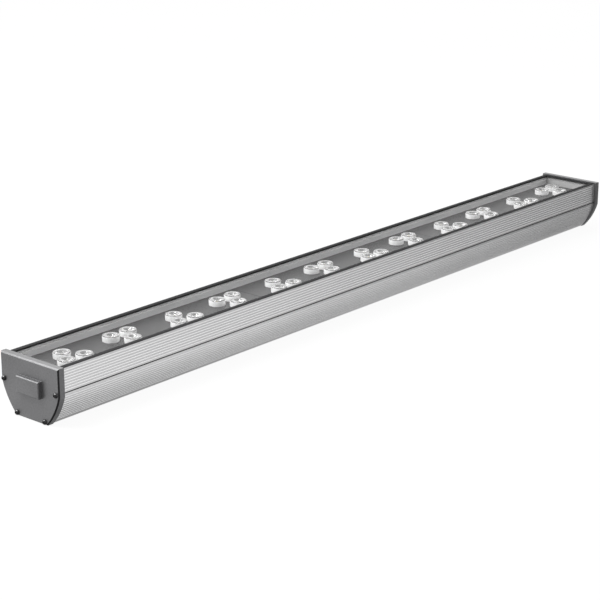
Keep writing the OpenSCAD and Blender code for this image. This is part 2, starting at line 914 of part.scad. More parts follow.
module chassis_screws() {
    tab_mid = tab_len / 2;
    ear_mid = (terminal_len + ear_len) / 2;
    color("gray") {
        for (x = [driver_near - tab_mid, driver_far + tab_mid])
            translate([x, 0, 0]) fixing_screw(track_top + tray_t);
        for (x = [terminal_x - ear_mid, terminal_x + ear_mid])
            translate([x, 0, 0]) fixing_screw(track_top + ear_t);
    }
}

// Earth screw and, under its head, the ring tag with its tail
module earth_screw() {
    seat = track_top + tag_t;
    color("goldenrod") translate([earth_x, 0, 0]) {
        difference() {
            translate([0, 0, seat]) cylinder(d = earth_head_d, h = earth_head_h, $fn = round_fn);
            slab(-earth_head_d, earth_head_d, 0, earth_slot_w, seat + earth_head_h / 2, earth_head_h);
        }
        translate([0, 0, track_top - fixing_bite])
            cylinder(d = earth_shank_d, h = tag_t + fixing_bite + earth_head_h / 4, $fn = round_fn);
        difference() {
            union() {
                translate([0, 0, track_top]) cylinder(d = tag_d, h = tag_t, $fn = round_fn);
                slab(-tag_tail_len, 0, 0, tag_tail_w, track_top, tag_t);
            }
            translate([0, 0, track_top - cut])
                cylinder(d = tag_hole_d, h = tag_t + 2 * cut, $fn = round_fn);
        }
    }
}

module inlet_seal() {
    color("black") inlet_place() translate([0, 0, inlet_depth - seal_len]) difference() {
        cylinder(d = inlet_d - 2 * seal_gap, h = seal_len, $fn = round_fn);
        translate([0, 0, -cut]) cylinder(d = cable_d, h = seal_len + 2 * cut, $fn = round_fn);
    }
}

// Hollow screw that presses the seal, with two spanner slots in its face
module inlet_gland() {
    gland_len = inlet_depth - seal_len;
    color("darkgray") inlet_place() difference() {
        cylinder(d = inlet_d - 2 * thread_gap, h = gland_len, $fn = round_fn);
        translate([0, 0, -cut]) cylinder(d = cable_d, h = gland_len + 2 * cut, $fn = round_fn);
        slab(-inlet_d / 2, inlet_d / 2, 0, gland_slot_w, -cut, gland_slot_depth + cut);
    }
}

// Flat nut that slides in the track, with bevelled top edges
module track_nut(x) {
    color("lightslategray") translate([x, 0, 0]) difference() {
        along(-nut_len / 2, nut_len / 2) polygon([
            [-nut_w / 2, nut_low],
            [nut_w / 2, nut_low],
            [nut_w / 2, nut_low + nut_t - nut_edge],
            [nut_w / 2 - nut_edge, nut_low + nut_t],
            [nut_edge - nut_w / 2, nut_low + nut_t],
            [-nut_w / 2, nut_low + nut_t - nut_edge]
        ]);
        translate([0, 0, nut_low - cut]) cylinder(d = nut_bore_d, h = nut_t + 2 * cut, $fn = round_fn);
    }
}

module track_nut_near() {
    track_nut(nut_in - end_x);
}

module track_nut_far() {
    track_nut(end_x - nut_in);
}

housing();
end_cap_near();
end_cap_far();
cap_gasket_near();
cap_gasket_far();
cap_screws_near();
cap_screws_far();
cover_glass();
glazing_strip_front();
glazing_strip_rear();
glazing_end_near();
glazing_end_far();
board_links();
lead_grommet();
output_leads();
input_leads();
driver_tray();
driver_cover();
driver_board();
driver_transformer();
driver_capacitors();
terminal_block();
chassis_screws();
earth_screw();
inlet_seal();
inlet_gland();
track_nut_near();
track_nut_far();
for (b = [0 : board_count - 1]) {
    led_board(b);
    leds(b);
}
for (i = [0 : group_count - 1]) {
    lens_trio(i);
    holder_trio(i);
}
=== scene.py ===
"""Looks of an outdoor wall washer light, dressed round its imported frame.

The camera and the studio come first, then each sub-assembly builds its pieces and dresses them. All
lengths are in metres, in the frame's own axes: X along the light, Z out through the cover glass.
"""

import json
import logging
import math
from collections.abc import Callable
from dataclasses import dataclass, field
from enum import Enum

import bmesh
import bpy
from mathutils import Matrix, Quaternion, Vector

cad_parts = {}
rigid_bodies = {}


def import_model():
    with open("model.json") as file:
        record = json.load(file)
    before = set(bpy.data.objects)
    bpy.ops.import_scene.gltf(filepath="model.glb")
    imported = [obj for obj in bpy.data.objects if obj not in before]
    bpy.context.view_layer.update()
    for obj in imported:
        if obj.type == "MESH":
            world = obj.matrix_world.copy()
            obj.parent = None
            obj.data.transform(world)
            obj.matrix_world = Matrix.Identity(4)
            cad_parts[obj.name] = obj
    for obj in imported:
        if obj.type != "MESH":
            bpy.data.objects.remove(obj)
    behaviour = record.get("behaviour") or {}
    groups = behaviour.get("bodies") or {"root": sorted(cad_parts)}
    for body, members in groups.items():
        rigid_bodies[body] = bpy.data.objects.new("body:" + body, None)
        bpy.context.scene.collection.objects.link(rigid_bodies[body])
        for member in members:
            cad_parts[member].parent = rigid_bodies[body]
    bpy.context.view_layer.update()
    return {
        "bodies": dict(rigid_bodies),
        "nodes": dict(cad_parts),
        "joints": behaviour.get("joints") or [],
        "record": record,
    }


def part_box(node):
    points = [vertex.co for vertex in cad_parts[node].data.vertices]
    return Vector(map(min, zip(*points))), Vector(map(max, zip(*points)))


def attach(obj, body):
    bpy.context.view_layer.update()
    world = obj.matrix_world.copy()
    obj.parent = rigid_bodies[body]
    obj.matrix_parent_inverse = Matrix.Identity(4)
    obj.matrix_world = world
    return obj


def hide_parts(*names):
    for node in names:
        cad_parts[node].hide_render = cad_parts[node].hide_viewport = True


LOG = logging.getLogger("wall_washer")
LIGHT_BODY = "light"
MM = 0.001
FULL_TURN = 2 * math.pi
MERGE = 1e-6
BOARDS = "abc"
# Turn between two faces below which they count as one, and above which their edge is rounded
FLAT_DEG = 0.2
BREAK_ABOVE_DEG = 28.0
# Share of Z in the normal below which a face counts as upright
UPRIGHT = 0.5
# Bevel profile that gives a round edge, and the faces across it
ROUND_PROFILE = 0.5
ROUND_SEGMENTS = 2
Colour = tuple[float, float, float]
Profile = list[tuple[float, float]]


class Grain(Enum):
    """Stretch of a finish's fine relief along each axis, as factors on object coordinates."""

    DRAWN_ALONG = (0.004, 1.0, 1.0)
    EVEN = (1.0, 1.0, 1.0)


class End(Enum):
    """The two ends of the light, with the sign of X on each."""

    NEAR = -1
    FAR = 1

    @property
    def word(self) -> str:
        """Return the end's name as the nodes use it."""
        return self.name.lower()


class Canvas:
    """A material's node tree, with short calls for the nodes that the finishes use."""

    NOISE_LOW = 0.3
    NOISE_HIGH = 0.7

    def __init__(self, name: str) -> None:
        """Start a material.

        Args:
            name: The material's name.
        """
        self.material = bpy.data.materials.new(name)
        self.material.use_nodes = True
        self.nodes = self.material.node_tree.nodes
        self.links = self.material.node_tree.links
        self.shader = self.nodes["Principled BSDF"]
        self.output = self.nodes["Material Output"]
        self.place = self.nodes.new("ShaderNodeTexCoord").outputs["Object"]

    def set(self, **values: float | tuple) -> "Canvas":
        """Set sockets of the main shader.

        Args:
            **values: Socket names, with underscores for spaces, and the constants that they get.

        Returns:
            The canvas itself.
        """
        for key, value in values.items():
            self.shader.inputs[key.replace("_", " ")].default_value = value
        return self

    def noise(self, scale: float, detail: float, grain: Grain = Grain.EVEN) -> bpy.types.NodeSocket:
        """Add a noise field on object coordinates.

        Args:
            scale: Cells per metre.
            detail: Octaves of the noise.
            grain: Stretch of the coordinates.

        Returns:
            The socket with the noise value.
        """
        mapping = self.nodes.new("ShaderNodeMapping")
        mapping.inputs["Scale"].default_value = grain.value
        texture = self.nodes.new("ShaderNodeTexNoise")
        texture.inputs["Scale"].default_value = scale
        texture.inputs["Detail"].default_value = detail
        self.links.new(self.place, mapping.inputs["Vector"])
        self.links.new(mapping.outputs["Vector"], texture.inputs["Vector"])
        return texture.outputs["Fac"]

    def spread(self, value: bpy.types.NodeSocket, low: float, high: float) -> bpy.types.NodeSocket:
        """Map the middle of a noise to a range.

        Args:
            value: The noise.
            low: Result where the noise is low.
            high: Result where the noise is high.

        Returns:
            The mapped socket.
        """
        node = self.nodes.new("ShaderNodeMapRange")
        node.inputs["From Min"].default_value = self.NOISE_LOW
        node.inputs["From Max"].default_value = self.NOISE_HIGH
        node.inputs["To Min"].default_value = low
        node.inputs["To Max"].default_value = high
        self.links.new(value, node.inputs["Value"])
        return node.outputs["Result"]

    def blend(self, value: bpy.types.NodeSocket, dark: Colour, light: Colour) -> bpy.types.NodeSocket:
        """Mix two colours by a value.

        Args:
            value: The mixing value.
            dark: Colour where the value is 0.
            light: Colour where the value is 1.

        Returns:
            The mixed colour.
        """
        node = self.nodes.new("ShaderNodeMix")
        node.data_type = "RGBA"
        colour_a, colour_b = [s for s in node.inputs if s.type == "RGBA"]
        colour_a.default_value = (*dark, 1.0)
        colour_b.default_value = (*light, 1.0)
        self.links.new(value, node.inputs["Factor"])
        return next(s for s in node.outputs if s.type == "RGBA")

    def maths(self, operation: str, a: bpy.types.NodeSocket,
              b: bpy.types.NodeSocket | float) -> bpy.types.NodeSocket:
        """Combine two values.

        Args:
            operation: The operation's name.
            a: First value.
            b: Second value, or a constant.

        Returns:
            The result.
        """
        node = self.nodes.new("ShaderNodeMath")
        node.operation = operation
        self.links.new(a, node.inputs[0])
        if isinstance(b, float):
            node.inputs[1].default_value = b
        else:
            self.links.new(b, node.inputs[1])
        return node.outputs[0]

    def layer(self, share: bpy.types.NodeSocket, under: bpy.types.NodeSocket,
              over: bpy.types.NodeSocket) -> None:
        """Make a mix of two shaders the material's surface.

        Args:
            share: Share of the second shader.
            under: First shader.
            over: Second shader.
        """
        node = self.nodes.new("ShaderNodeMixShader")
        self.links.new(share, node.inputs["Fac"])
        self.links.new(under, node.inputs[1])
        self.links.new(over, node.inputs[2])
        self.links.new(node.outputs["Shader"], self.output.inputs["Surface"])

    def wire(self, value: bpy.types.NodeSocket, socket: str) -> "Canvas":
        """Link a value to a socket of the main shader.

        Args:
            value: The value.
            socket: The name of the socket.

        Returns:
            The canvas itself.
        """
        self.links.new(value, self.shader.inputs[socket])
        return self

    def bump(self, value: bpy.types.NodeSocket, strength: float, height: float) -> "Canvas":
        """Drive the main shader's normal with a height field.

        Args:
            value: The height field.
            strength: Share of the effect.
            height: Real height of the relief.

        Returns:
            The canvas itself.
        """
        node = self.nodes.new("ShaderNodeBump")
        node.inputs["Strength"].default_value = strength
        node.inputs["Distance"].default_value = height
        self.links.new(value, node.inputs["Height"])
        self.links.new(node.outputs["Normal"], self.shader.inputs["Normal"])
        return self


def scaled(colour: Colour, factor: float) -> Colour:
    """Return a colour scaled by a factor, held below one."""
    return tuple(min(channel * factor, 1.0) for channel in colour)


@dataclass(frozen=True)
class Finish:
    """A surface with a fine skin and a slow variation in tone.

    Skin and cloud are the cells per metre of the fine and the slow noise, relief is the skin's height, and
    variation and roughness_spread are the shares by which the tone and the roughness vary.
    """

    name: str
    colour: Colour
    roughness: float
    metallic: float = 0.0
    grain: Grain = Grain.EVEN
    skin: float = 1500.0
    relief: float = 0.00001
    variation: float = 0.05
    specular: float = 0.5
    coat: float = 0.0
    coat_roughness: float = 0.08
    cloud: float = 12.0
    detail: float = 3.0
    roughness_spread: float = 0.12
    bump_share: float = 0.5

    def material(self) -> bpy.types.Material:
        """Build the material."""
        canvas = Canvas(self.name).set(Metallic=self.metallic, Specular_IOR_Level=self.specular,
                                       Coat_Weight=self.coat, Coat_Roughness=self.coat_roughness)
        skin = canvas.noise(self.skin, self.detail, self.grain)
        cloud = canvas.noise(self.cloud, self.detail)
        mean = canvas.maths("MULTIPLY", canvas.maths("ADD", cloud, skin), 0.5)
        rough = canvas.spread(skin, self.roughness * (1 - self.roughness_spread),
                              self.roughness * (1 + self.roughness_spread))
        tone = canvas.blend(canvas.spread(mean, 0.0, 1.0), scaled(self.colour, 1 - self.variation),
                            scaled(self.colour, 1 + self.variation))
        canvas.wire(rough, "Roughness").wire(tone, "Base Color")
        return canvas.bump(skin, self.bump_share, self.relief).material


@dataclass(frozen=True)
class Pane:
    """Clear coated glass: its outer faces mirror a share of the light, the rest goes straight through.

    Strength is the part of plain glass's mirror light that the coating leaves.
    """

    name: str
    tint: Colour
    strength: float
    roughness: float = 0.03
    ior: float = 1.5

    def material(self) -> bpy.types.Material:
        """Build the material."""
        canvas = Canvas(self.name)
        clear = canvas.nodes.new("ShaderNodeBsdfTransparent")
        clear.inputs["Color"].default_value = (*self.tint, 1.0)
        gloss = canvas.nodes.new("ShaderNodeBsdfAnisotropic")
        gloss.inputs["Roughness"].default_value = self.roughness
        fresnel = canvas.nodes.new("ShaderNodeFresnel")
        fresnel.inputs["IOR"].default_value = self.ior
        facing = canvas.nodes.new("ShaderNodeNewGeometry").outputs["Backfacing"]
        outside = canvas.maths("GREATER_THAN", fresnel.outputs["Fac"], facing)
        mirrored = canvas.maths("MULTIPLY", fresnel.outputs["Fac"], outside)
        canvas.layer(canvas.maths("MULTIPLY", mirrored, self.strength), clear.outputs["BSDF"],
                     gloss.outputs["BSDF"])
        canvas.nodes.remove(canvas.shader)
        return canvas.material


@dataclass(frozen=True)
class Acrylic:
    """Moulded acrylic that bends the light, with a share of milky white in it.

    Clear is the share that lets light through, and flow the cells per metre of the noise in its roughness.
    """

    name: str
    colour: Colour
    roughness: float
    clear: float
    ior: float = 1.49
    flow: float = 300.0
    detail: float = 2.0
    roughness_spread: float = 0.4

    def material(self) -> bpy.types.Material:
        """Build the material."""
        canvas = Canvas(self.name).set(Transmission_Weight=self.clear, IOR=self.ior,
                                       Base_Color=(*self.colour, 1.0))
        rough = canvas.spread(canvas.noise(self.flow, self.detail),
                              self.roughness * (1 - self.roughness_spread),
                              self.roughness * (1 + self.roughness_spread))
        return canvas.wire(rough, "Roughness").material


AnyFinish = Finish | Pane | Acrylic

EXTRUSION = Finish("anodised_extrusion", (0.825, 0.825, 0.83), 0.3, metallic=1.0, grain=Grain.DRAWN_ALONG,
                   skin=2600.0, relief=0.000004, variation=0.04)
CHAMBER = Finish("chamber_wall", (0.83, 0.83, 0.835), 0.5, metallic=0.3, grain=Grain.DRAWN_ALONG,
                 skin=1800.0, relief=0.000004)
# Painted shade: a dark copy of the chamber wall for the housing's faces below the deck, side channel
# included
PAINTED_SHADE_CAVITY = Finish("plain_inner_metal", (0.2, 0.2, 0.202), 0.5, metallic=0.3, grain=Grain.DRAWN_ALONG,
                skin=1800.0, relief=0.000004)
CASTING = Finish("dark_metallic_coat", (0.182, 0.182, 0.186), 0.4, metallic=0.76, skin=600.0,
                 relief=0.00004, variation=0.3)
# Painted dark reflection: a near-black copy of the caps' coat, laid on their upright bevels
PAINTED_BEVEL_REFLECTION = Finish("dark_metallic_edge", (0.02, 0.02, 0.021), 0.3, metallic=0.5, skin=600.0)
GASKET = Finish("gasket_silicone", (0.45, 0.45, 0.45), 0.6, skin=900.0)
GLAZING = Finish("glazing_rubber", (0.036, 0.036, 0.037), 0.6, specular=0.005, skin=700.0, relief=0.00002)
BLACK_STEEL = Finish("black_oxide_steel", (0.006, 0.006, 0.007), 0.16, specular=0.6, coat=0.35, skin=2500.0,
                     relief=0.000003)
COVER_GLASS = Pane("cover_glass", (0.985, 0.985, 0.985), 0.28)
LENS = Acrylic("lens_acrylic", (0.88, 0.88, 0.88), 0.04, 0.85)
# Painted shade: a darker acrylic for the lens hollow and the upright band of its rim
LENS_PAINTED_SHADE = Acrylic("lens_acrylic_core", (0.36, 0.36, 0.36), 0.06, 0.75)
HOLDER = Finish("lens_holder_white", (0.97, 0.97, 0.97), 0.3, coat=0.3, skin=2000.0, relief=0.000004)
BOARD_MASK = Finish("board_grey_mask", (0.045, 0.045, 0.046), 0.45, specular=0.3, skin=2200.0,
                    relief=0.000004)
LINK_PLASTIC = Finish("link_white_plastic", (0.75, 0.74, 0.7), 0.4)
CERAMIC = Finish("emitter_ceramic", (0.85, 0.85, 0.83), 0.35)
PHOSPHOR = Finish("emitter_phosphor", (0.85, 0.62, 0.08), 0.3, coat=0.8)
COPPER = Finish("winding_copper", (0.72, 0.33, 0.16), 0.3, metallic=1.0)
ZINC = Finish("zinc_plate", (0.62, 0.62, 0.63), 0.3, metallic=1.0, skin=1800.0)
BRASS = Finish("brass", (0.72, 0.52, 0.2), 0.3, metallic=1.0)
NICKEL = Finish("nickel_plate", (0.66, 0.64, 0.6), 0.24, metallic=1.0)
TRAY_STEEL = Finish("tray_steel", (0.55, 0.56, 0.57), 0.4, metallic=1.0, grain=Grain.DRAWN_ALONG)
BOARD_GREEN = Finish("driver_board_green", (0.02, 0.14, 0.06), 0.35, coat=0.4)
FERRITE = Finish("ferrite", (0.05, 0.05, 0.052), 0.55)
SLEEVE = Finish("capacitor_sleeve", (0.015, 0.02, 0.06), 0.3, coat=0.3)
IVORY = Finish("terminal_plastic", (0.7, 0.68, 0.6), 0.42)
GROMMET = Finish("grommet_rubber", (0.04, 0.04, 0.04), 0.55)
LEAD_RED = Finish("lead_red", (0.5, 0.03, 0.02), 0.35)
LEAD_BLACK = Finish("lead_black", (0.02, 0.02, 0.02), 0.35)
LEAD_BROWN = Finish("lead_brown", (0.16, 0.06, 0.025), 0.35)
LEAD_BLUE = Finish("lead_blue", (0.03, 0.12, 0.5), 0.35)
LEAD_GREEN = Finish("lead_green", (0.1, 0.42, 0.05), 0.35)


def lathe(profile: Profile, steps: int) -> bmesh.types.BMesh:
    """Turn an outline round the Z axis.

    Args:
        profile: Points as radius and height, from the start of the outline to its end.
        steps: Divisions of the turn.

    Returns:
        A closed mesh, if the outline starts and ends on the axis or closes on itself.
    """
    bm = bmesh.new()
    verts = [bm.verts.new((radius, 0.0, height)) for radius, height in profile]
    edges = [bm.edges.new(pair) for pair in zip(verts, verts[1:])]
    bmesh.ops.spin(bm, geom=verts + edges, cent=(0, 0, 0), axis=(0, 0, 1), angle=FULL_TURN, steps=steps,
                   use_merge=True)
    bmesh.ops.remove_doubles(bm, verts=bm.verts, dist=MERGE)
    bmesh.ops.recalc_face_normals(bm, faces=bm.faces)
    return bm


def rounded(profile: Profile, corners: dict[int, float], steps: int = 4) -> Profile:
    """Round some corners of an outline.

    Args:
        profile: The outline.
        corners: Radius to take off at each of some points, by the point's place in the outline.
        steps: Divisions of each rounding.

    Returns:
        The outline with its roundings.
    """
    made = []
    for i, point in enumerate(profile):
        if i not in corners:
            made.append(point)
            continue
        here, before, after = Vector(point), Vector(profile[i - 1]), Vector(profile[(i + 1) % len(profile)])
        start = here + (before - here).normalized() * corners[i]
        end = here + (after - here).normalized() * corners[i]
        for k in range(steps + 1):
            t = k / steps
            spot = start.lerp(here, t).lerp(here.lerp(end, t), t)
            made.append((spot.x, spot.y))
    return made


def join(target: bmesh.types.BMesh, part: bmesh.types.BMesh, place: Matrix,
         material: int | None = None) -> None:
    """Copy a mesh into another at a place.

    Args:
        target: The mesh that grows.
        part: The mesh that is copied.
        place: Where the copy goes.
        material: Index of the finish that its faces get, or None to keep their own.
    """
    made = {}
    for vert in part.verts:
        made[vert] = target.verts.new(place @ vert.co)
    for face in part.faces:
        copy = target.faces.new([made[v] for v in face.verts])
        copy.material_index = face.material_index if material is None else material


def round_edges(bm: bmesh.types.BMesh, edges: list[bmesh.types.BMEdge], width: float, segments: int) -> None:
    """Round some edges of a mesh.

    Args:
        bm: The mesh.
        edges: The edges.
        width: Width of the rounding.
        segments: Faces across the rounding.
    """
    bmesh.ops.bevel(bm, geom=edges, offset=width, offset_type="OFFSET", segments=segments,
                    profile=ROUND_PROFILE, affect="EDGES", clamp_overlap=True, material=-1)


def block(low: Vector, high: Vector, edge: float, segments: int = ROUND_SEGMENTS) -> bmesh.types.BMesh:
    """Make a box with rounded edges.

    Args:
        low: Its lowest corner.
        high: Its highest corner.
        edge: Width of the rounding.
        segments: Faces across the rounding.

    Returns:
        The box.
    """
    bm = bmesh.new()
    middle, size = (low + high) / 2, high - low
    bmesh.ops.create_cube(bm, size=1.0, matrix=Matrix.Translation(middle) @ Matrix.Diagonal((*size, 1.0)))
    round_edges(bm, bm.edges[:], edge, segments)
    return bm


@dataclass
class Workshop:
    """Turns meshes into pieces that ride on the frame, and dresses CAD nodes."""

    frame: dict
    made: dict[str, bpy.types.Material] = field(default_factory=dict)

    def finish(self, finish: AnyFinish) -> bpy.types.Material:
        """Return the finish's material, which is made once."""
        if finish.name not in self.made:
            self.made[finish.name] = finish.material()
        return self.made[finish.name]

    def dress(self, node: str, finish: AnyFinish) -> None:
        """Give a CAD node a finish.

        Args:
            node: The node's name.
            finish: Its finish.
        """
        mesh = self.frame["nodes"][node].data
        mesh.materials.clear()
        mesh.materials.append(self.finish(finish))
        LOG.info("dressed %s in %s", node, finish.name)

    def dress_parts(self, node: str, finishes: list[AnyFinish],
                    pick: Callable[[Vector, Vector], int]) -> None:
        """Give a CAD node several finishes.

        Args:
            node: The node's name.
            finishes: Its finishes.
            pick: Returns the place of a face's finish in the list, by the face's middle and normal.
        """
        mesh = self.frame["nodes"][node].data
        mesh.materials.clear()
        for finish in finishes:
            mesh.materials.append(self.finish(finish))
        for face in mesh.polygons:
            face.material_index = pick(face.center, face.normal)
        LOG.info("dressed %s in %d finishes", node, len(finishes))

    def copy(self, node: str) -> bmesh.types.BMesh:
        """Copy a CAD node's mesh, with its triangles joined and its flat faces made whole.

        Args:
            node: The node's name.

        Returns:
            The copy.
        """
        bm = bmesh.new()
        bm.from_mesh(self.frame["nodes"][node].data)
        bmesh.ops.remove_doubles(bm, verts=bm.verts, dist=MERGE)
        bmesh.ops.dissolve_limit(bm, angle_limit=math.radians(FLAT_DEG), verts=bm.verts, edges=bm.edges,
                                 use_dissolve_boundaries=False)
        for face in bm.faces:
            face.material_index = 0
        return bm

    def piece(self, node: str, bm: bmesh.types.BMesh, slot: str, finishes: list[AnyFinish],
              body: str = LIGHT_BODY, sharp_deg: float = 40.0, weighted: bool = False) -> bpy.types.Object:
        """Make a piece that stands for a CAD node.

        Args:
            node: The node's name.
            bm: The piece's mesh, in place; it is freed.
            slot: The record's material slot; not used.
            finishes: Its finishes, in the order of the faces' material indices.
            body: The CAD body that it rides on.
            sharp_deg: Edges with a greater turn stay sharp.
            weighted: Whether large faces set the shading of their corners.

        Returns:
            The piece.
        """
        name = f"{node}_body"
        mesh = bpy.data.meshes.new(name)
        bm.to_mesh(mesh)
        bm.free()
        mesh.shade_smooth()
        mesh.set_sharp_from_angle(angle=math.radians(sharp_deg))
        for finish in finishes:
            mesh.materials.append(self.finish(finish))
        piece = bpy.data.objects.new(name, mesh)
        bpy.context.scene.collection.objects.link(piece)
        if weighted:
            piece.modifiers.new("even_shading", "WEIGHTED_NORMAL").keep_sharp = True
        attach(piece, body)
        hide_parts(node)
        LOG.info("made %s with %d faces", name, len(mesh.polygons))
        return piece

    def softened(self, node: str, width: float, slot: str, finish: AnyFinish,
                 body: str = LIGHT_BODY) -> bpy.types.Object:
        """Replace a CAD node by its own shape with softly broken edges.

        Args:
            node: The node's name.
            width: Width of the broken edges.
            slot: The record's material slot.
            finish: Its finish.
            body: The CAD body that it rides on.

        Returns:
            The piece.
        """
        bm = self.copy(node)
        turn = math.radians(BREAK_ABOVE_DEG)
        sharp = [e for e in bm.edges if e.is_manifold and e.calc_face_angle(0.0) > turn]
        round_edges(bm, sharp, width, ROUND_SEGMENTS)
        return self.piece(node, bm, slot, [finish], body, sharp_deg=50.0, weighted=True)


@dataclass(frozen=True)
class Softbox:
    """An area light: its place, the point that it faces, its width and height, and its power in watts."""

    name: str
    at: Vector
    target: Vector
    size: tuple[float, float]
    power: float


@dataclass(frozen=True)
class Lobe:
    """A patch of the world, whose light eases by a factor as the view turns toward a direction.

    Start and end are the cosines between which the factor goes from low to high.
    """

    toward: Colour
    start: float
    end: float
    low: float
    high: float


@dataclass
class Studio:
    """Camera, floor, world and lights."""

    eye_over_caps: Vector = field(default_factory=lambda: Vector((-1.60925, -1.32112, 0.61195)))
    heading: Vector = field(default_factory=lambda: Vector((0.7195, 0.62308, -0.30675)))
    roll_deg: float = -0.065
    lens_mm: float = 108.2
    sensor_mm: float = 36.0
    clip: tuple[float, float] = (0.05, 50.0)
    floor_size: float = 12.0
    floor_gap: float = 0.05 * MM
    floor_glow: float = 0.93
    floor_tones: tuple[float, float] = (0.05, 0.06)
    floor_cloud: float = 1.2
    floor_detail: float = 2.0
    white: float = 1.0
    sky: Lobe = Lobe((0, 0, 1), -0.15, 0.5, 0.8, 1.25)
    lobes: tuple[Lobe, ...] = (
        Lobe((0, 0, -1), 0.48, 0.8, 1.0, 0.36),
        Lobe((-0.65, -0.76, -0.2), 0.03, 0.8, 1.0, 0.4),
        Lobe((1, -0.15, -0.1), 0.75, 0.94, 1.0, 0.05),
        Lobe((0.62, -0.5, -0.6), 0.93, 0.99, 1.0, 1.4),
        Lobe((0, 1, 0.4), 0.3, 0.9, 1.0, 1.3),
    )
    softboxes: tuple[Softbox, ...] = (
        Softbox("back_overhead", Vector((-1.1, 1.3, 1.7)), Vector((-0.3, 0, 0.05)), (1.8, 0.9), 18.0),
        Softbox("front_near", Vector((-0.1, -1.7, 0.35)), Vector((-0.4, 0, 0.03)), (0.8, 0.6), 1.0),
        Softbox("glint", Vector((-1.1, 0.3, 1.4)), Vector((-0.5, 0, 0.03)), (0.5, 0.5), 18.0),
    )

    def build(self) -> None:
        """Make the camera, the floor, the world and the lights."""
        bpy.context.scene.view_settings.view_transform = "Standard"
        self.camera()
        self.floor()
        self.world()
        for box in self.softboxes:
            self.hang(box)

    def camera(self) -> None:
        """Place the camera where the photograph was taken from."""
        data = bpy.data.cameras.new("camera")
        data.lens = self.lens_mm
        data.sensor_width = self.sensor_mm
        data.clip_start, data.clip_end = self.clip
        camera = bpy.data.objects.new("camera", data)
        camera.location = self.eye_over_caps + Vector((0, 0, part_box("end_cap_near")[1].z))
        camera.rotation_mode = "QUATERNION"
        roll = Quaternion((0, 0, 1), math.radians(self.roll_deg))
        camera.rotation_quaternion = self.heading.to_track_quat("-Z", "Y") @ roll
        bpy.context.scene.collection.objects.link(camera)
        bpy.context.scene.camera = camera

    def floor(self) -> None:
        """Make the pale floor that the light lies on, which is clear when seen from below."""
        bm = bmesh.new()
        bmesh.ops.create_grid(bm, x_segments=1, y_segments=1, size=self.floor_size / 2,
                              matrix=Matrix.Translation((0, 0, -self.floor_gap)))
        mesh = bpy.data.meshes.new("floor")
        bm.to_mesh(mesh)
        bm.free()
        glow = (self.floor_glow,) * 3
        canvas = Canvas("floor").set(Roughness=0.9, Specular_IOR_Level=0.0, Emission_Strength=1.0,
                                     Emission_Color=(*glow, 1.0))
        dark, light = ((tone,) * 3 for tone in self.floor_tones)
        cloud = canvas.noise(self.floor_cloud, self.floor_detail)
        canvas.wire(canvas.blend(cloud, dark, light), "Base Color")
        below = canvas.nodes.new("ShaderNodeNewGeometry").outputs["Backfacing"]
        clear = canvas.nodes.new("ShaderNodeBsdfTransparent").outputs["BSDF"]
        canvas.layer(below, canvas.shader.outputs["BSDF"], clear)
        mesh.materials.append(canvas.material)
        floor = bpy.data.objects.new("floor", mesh)
        floor.visible_glossy = False
        bpy.context.scene.collection.objects.link(floor)

    def world(self) -> None:
        """Light the studio, bright above and behind, dim below, by the camera and past the far end."""
        world = bpy.data.worlds.new("studio")
        bpy.context.scene.world = world
        world.use_nodes = True
        nodes, links = world.node_tree.nodes, world.node_tree.links
        background = nodes["Background"]
        way = nodes.new("ShaderNodeTexCoord").outputs["Generated"]

        def eased(lobe: Lobe) -> bpy.types.NodeSocket:
            """Return the lobe's factor in the direction that is seen."""
            dot = nodes.new("ShaderNodeVectorMath")
            dot.operation = "DOT_PRODUCT"
            links.new(way, dot.inputs[0])
            dot.inputs[1].default_value = Vector(lobe.toward).normalized()
            ease = nodes.new("ShaderNodeMapRange")
            ease.interpolation_type = "SMOOTHSTEP"
            ease.inputs["From Min"].default_value = lobe.start
            ease.inputs["From Max"].default_value = lobe.end
            ease.inputs["To Min"].default_value = lobe.low
            ease.inputs["To Max"].default_value = lobe.high
            links.new(dot.outputs["Value"], ease.inputs["Value"])
            return ease.outputs["Result"]

        strength = eased(self.sky)
        for lobe in self.lobes:
            times = nodes.new("ShaderNodeMath")
            times.operation = "MULTIPLY"
            links.new(strength, times.inputs[0])
            links.new(eased(lobe), times.inputs[1])
            strength = times.outputs[0]
        seen = nodes.new("ShaderNodeLightPath").outputs["Is Camera Ray"]
        pick = nodes.new("ShaderNodeMix")
        pick.inputs["B"].default_value = self.white
        links.new(seen, pick.inputs["Factor"])
        links.new(strength, pick.inputs["A"])
        links.new(pick.outputs["Result"], background.inputs["Strength"])
        background.inputs["Color"].default_value = (1.0, 1.0, 1.0, 1.0)

    def hang(self, box: Softbox) -> None:
        """Hang an area light.

        Args:
            box: The light.
        """
        data = bpy.data.lights.new(box.name, "AREA")
        data.shape = "RECTANGLE"
        data.size, data.size_y = box.size
        data.energy = box.power
        lamp = bpy.data.objects.new(box.name, data)
        lamp.location = box.at
        lamp.rotation_mode = "QUATERNION"
        lamp.rotation_quaternion = (box.target - box.at).to_track_quat("-Z", "Y")
        bpy.context.scene.collection.objects.link(lamp)


